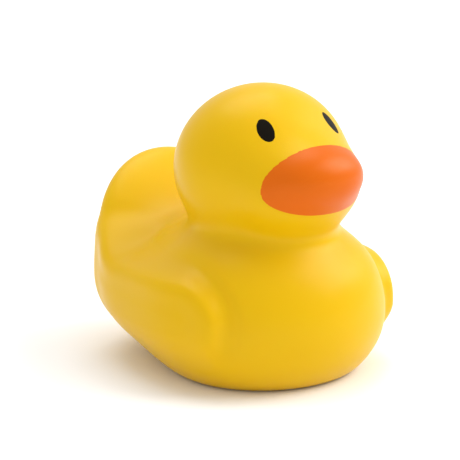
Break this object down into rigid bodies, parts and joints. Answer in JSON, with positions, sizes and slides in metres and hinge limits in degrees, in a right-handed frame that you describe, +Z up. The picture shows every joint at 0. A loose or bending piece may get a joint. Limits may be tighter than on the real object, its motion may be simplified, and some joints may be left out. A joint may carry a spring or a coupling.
{
  "type": "rubber duck",
  "caption": "Hand-sized bath duck of soft yellow vinyl with a round head, short beak, raised wings and an upturned tail, flat underneath to stand.",
  "frame": {"origin": "on the floor, under the middle of the duck's bounding box", "axes": "+Z up, -Y out of the beak, +X to the duck's left"},
  "size_m": [0.0926, 0.1096, 0.0984],
  "materials": {
    "yellow_vinyl": "soft satin vinyl, with an orange painted beak and two near-black painted eyes"
  },
  "bodies": {
    "root": {"duck": "yellow_vinyl"}
  },
  "joints": []
}
